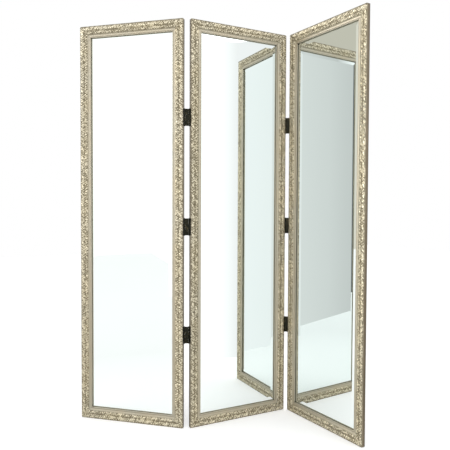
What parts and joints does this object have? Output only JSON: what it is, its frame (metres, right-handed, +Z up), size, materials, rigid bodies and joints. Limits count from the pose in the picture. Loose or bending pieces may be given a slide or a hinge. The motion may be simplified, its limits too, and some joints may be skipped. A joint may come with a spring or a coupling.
{
  "type": "folding room divider screen",
  "caption": "Free-standing folding screen of full-length bevelled mirrors in relief-moulded frames, joined by double-action hinges so that it folds either way.",
  "frame": {"origin": "on the floor under the centre of the middle panel, at its mid-thickness", "axes": "+Z up; X along the middle panel's width; the middle panel's mirror faces -Y"},
  "size_m": [0.9611, 0.8921, 1.829],
  "materials": {
    "leafed_moulding": "antique champagne leaf, burnished on the high points, dark wash in the recesses",
    "mirror_glass": "silvered plate glass with a wide polished bevel",
    "painted_board": "flat dark brown paint on fibreboard",
    "dark_bronze": "blackened bronze, rubbed bright at the edges"
  },
  "bodies": {
    "middle_panel": {"middle_panel_left_stile": "leafed_moulding", "middle_panel_right_stile": "leafed_moulding", "middle_panel_bottom_rail": "leafed_moulding", "middle_panel_top_rail": "leafed_moulding", "middle_panel_mirror": "mirror_glass", "middle_panel_backing_board": "painted_board", "left_lower_hinge_right_leaf": "dark_bronze", "left_centre_hinge_right_leaf": "dark_bronze", "left_upper_hinge_right_leaf": "dark_bronze", "right_lower_hinge_left_leaf": "dark_bronze", "right_centre_hinge_left_leaf": "dark_bronze", "right_upper_hinge_left_leaf": "dark_bronze"},
    "left_panel": {"left_panel_left_stile": "leafed_moulding", "left_panel_right_stile": "leafed_moulding", "left_panel_bottom_rail": "leafed_moulding", "left_panel_top_rail": "leafed_moulding", "left_panel_mirror": "mirror_glass", "left_panel_backing_board": "painted_board", "left_lower_hinge_left_leaf": "dark_bronze", "left_centre_hinge_left_leaf": "dark_bronze", "left_upper_hinge_left_leaf": "dark_bronze"},
    "right_panel": {"right_panel_left_stile": "leafed_moulding", "right_panel_right_stile": "leafed_moulding", "right_panel_bottom_rail": "leafed_moulding", "right_panel_top_rail": "leafed_moulding", "right_panel_mirror": "mirror_glass", "right_panel_backing_board": "painted_board", "right_lower_hinge_right_leaf": "dark_bronze", "right_centre_hinge_right_leaf": "dark_bronze", "right_upper_hinge_right_leaf": "dark_bronze"},
    "left_hinge_links": {"left_lower_hinge_link": "dark_bronze", "left_lower_hinge_left_pin": "dark_bronze", "left_lower_hinge_right_pin": "dark_bronze", "left_centre_hinge_link": "dark_bronze", "left_centre_hinge_left_pin": "dark_bronze", "left_centre_hinge_right_pin": "dark_bronze", "left_upper_hinge_link": "dark_bronze", "left_upper_hinge_left_pin": "dark_bronze", "left_upper_hinge_right_pin": "dark_bronze"},
    "right_hinge_links": {"right_lower_hinge_link": "dark_bronze", "right_lower_hinge_left_pin": "dark_bronze", "right_lower_hinge_right_pin": "dark_bronze", "right_centre_hinge_link": "dark_bronze", "right_centre_hinge_left_pin": "dark_bronze", "right_centre_hinge_right_pin": "dark_bronze", "right_upper_hinge_link": "dark_bronze", "right_upper_hinge_left_pin": "dark_bronze", "right_upper_hinge_right_pin": "dark_bronze"}
  },
  "joints": [
    {"name": "left_link_swing", "type": "hinge", "parent": "middle_panel", "child": "left_hinge_links", "pos_m": [-0.2575, 0, 0.909], "axis": [0, 0, -1], "range_deg": [-66.8, 68.2]},
    {"name": "left_panel_swing", "type": "hinge", "parent": "left_hinge_links", "child": "left_panel", "pos_m": [-0.27681, 0.00772, 0.909], "axis": [0, 0, -1], "range_deg": [-66.8, 68.2]},
    {"name": "right_link_swing", "type": "hinge", "parent": "middle_panel", "child": "right_hinge_links", "pos_m": [0.2575, 0, 0.909], "axis": [0, 0, -1], "range_deg": [-88.5, 46.5]},
    {"name": "right_panel_swing", "type": "hinge", "parent": "right_hinge_links", "child": "right_panel", "pos_m": [0.27259, -0.01432, 0.909], "axis": [0, 0, -1], "range_deg": [-88.5, 46.5]}
  ],
  "couplings": [
    {"joint": "left_panel_swing", "follows": "left_link_swing", "ratio": 1},
    {"joint": "right_panel_swing", "follows": "right_link_swing", "ratio": 1}
  ]
}
